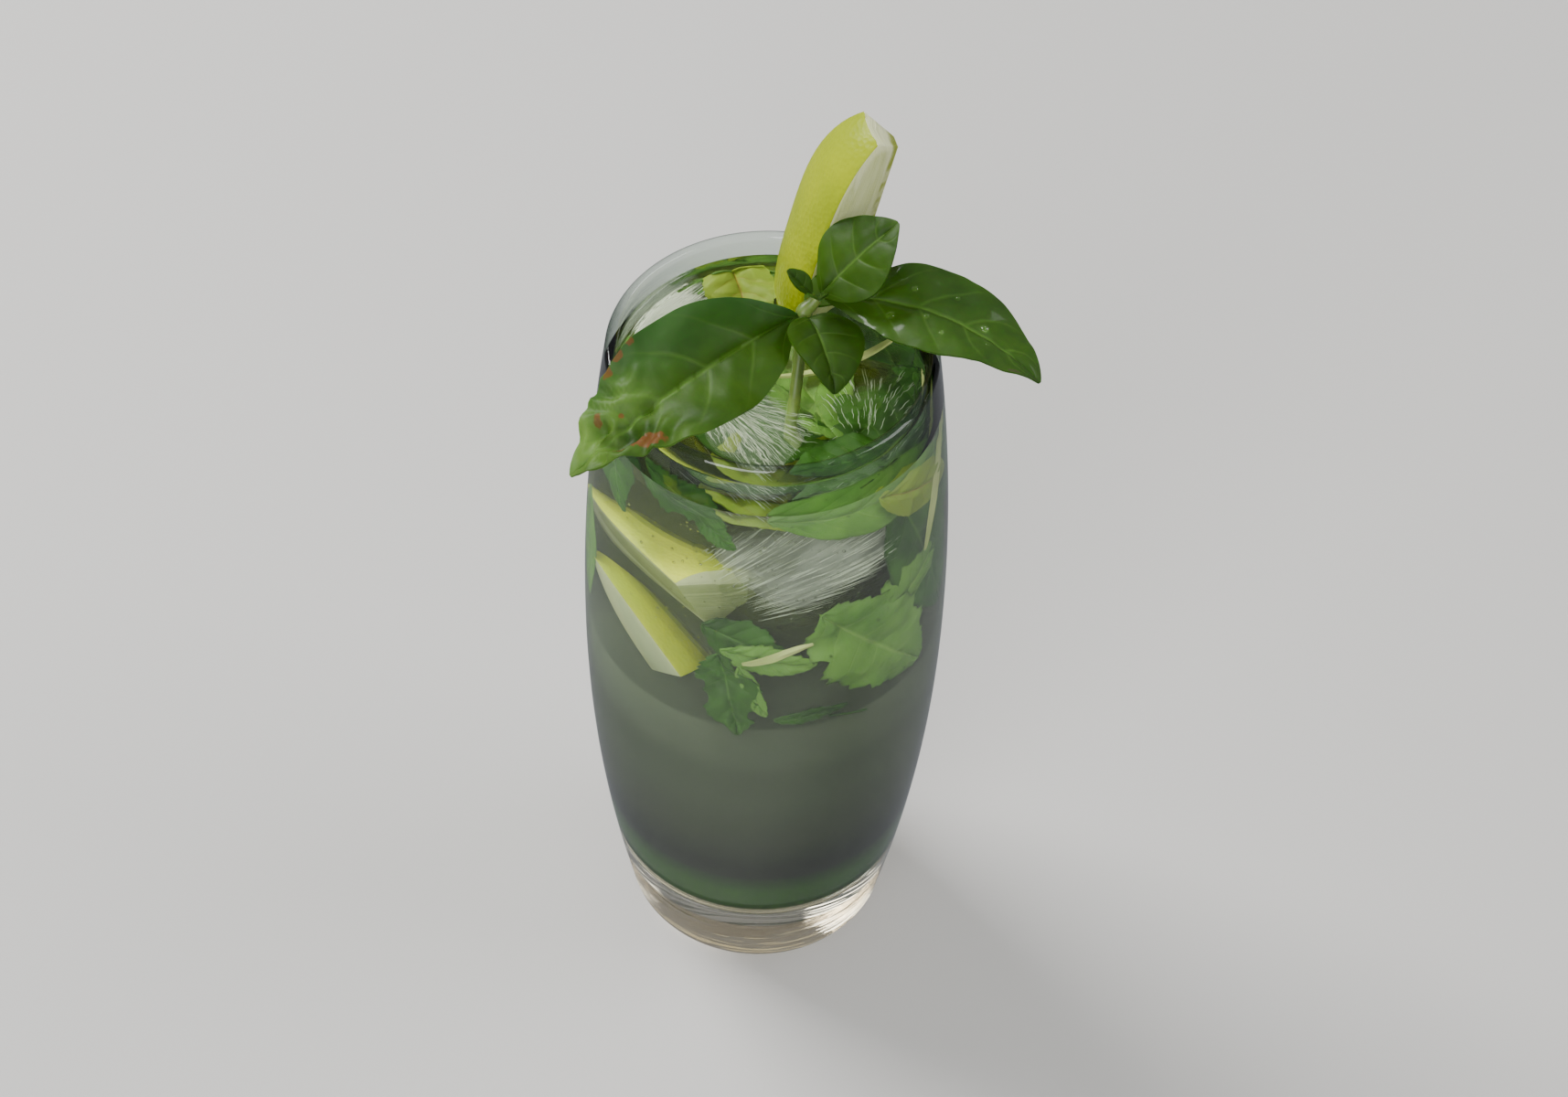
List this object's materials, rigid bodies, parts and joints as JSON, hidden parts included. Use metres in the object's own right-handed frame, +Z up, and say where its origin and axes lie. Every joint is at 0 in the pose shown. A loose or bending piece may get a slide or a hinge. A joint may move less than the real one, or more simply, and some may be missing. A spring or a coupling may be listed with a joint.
{
  "type": "mojito cocktail in a highball glass",
  "caption": "Mojito in a barrel-shaped highball glass, filled near the lip, with an upright lime wedge and a basil sprig.",
  "frame": {"origin": "centre of the glass's flat foot", "axes": "+Z up along the glass's axis, +X to the right when the sprig's large leaves point left and right, -Y to the front"},
  "size_m": [0.0802, 0.067, 0.1834],
  "materials": {
    "glass": "clear, polished",
    "drink": "cloudy, wet",
    "lime": "waxy rind, moist flesh",
    "stem": "satin",
    "leaf": "satin"
  },
  "bodies": {
    "root": {"glass": "glass", "drink": "drink", "lime_wedge": "lime", "stem": "stem", "leaf_left": "leaf", "leaf_right": "leaf", "leaf_back": "leaf", "leaf_front": "leaf", "leaf_rear": "leaf", "bud_left": "leaf", "bud_right": "leaf"}
  },
  "joints": []
}
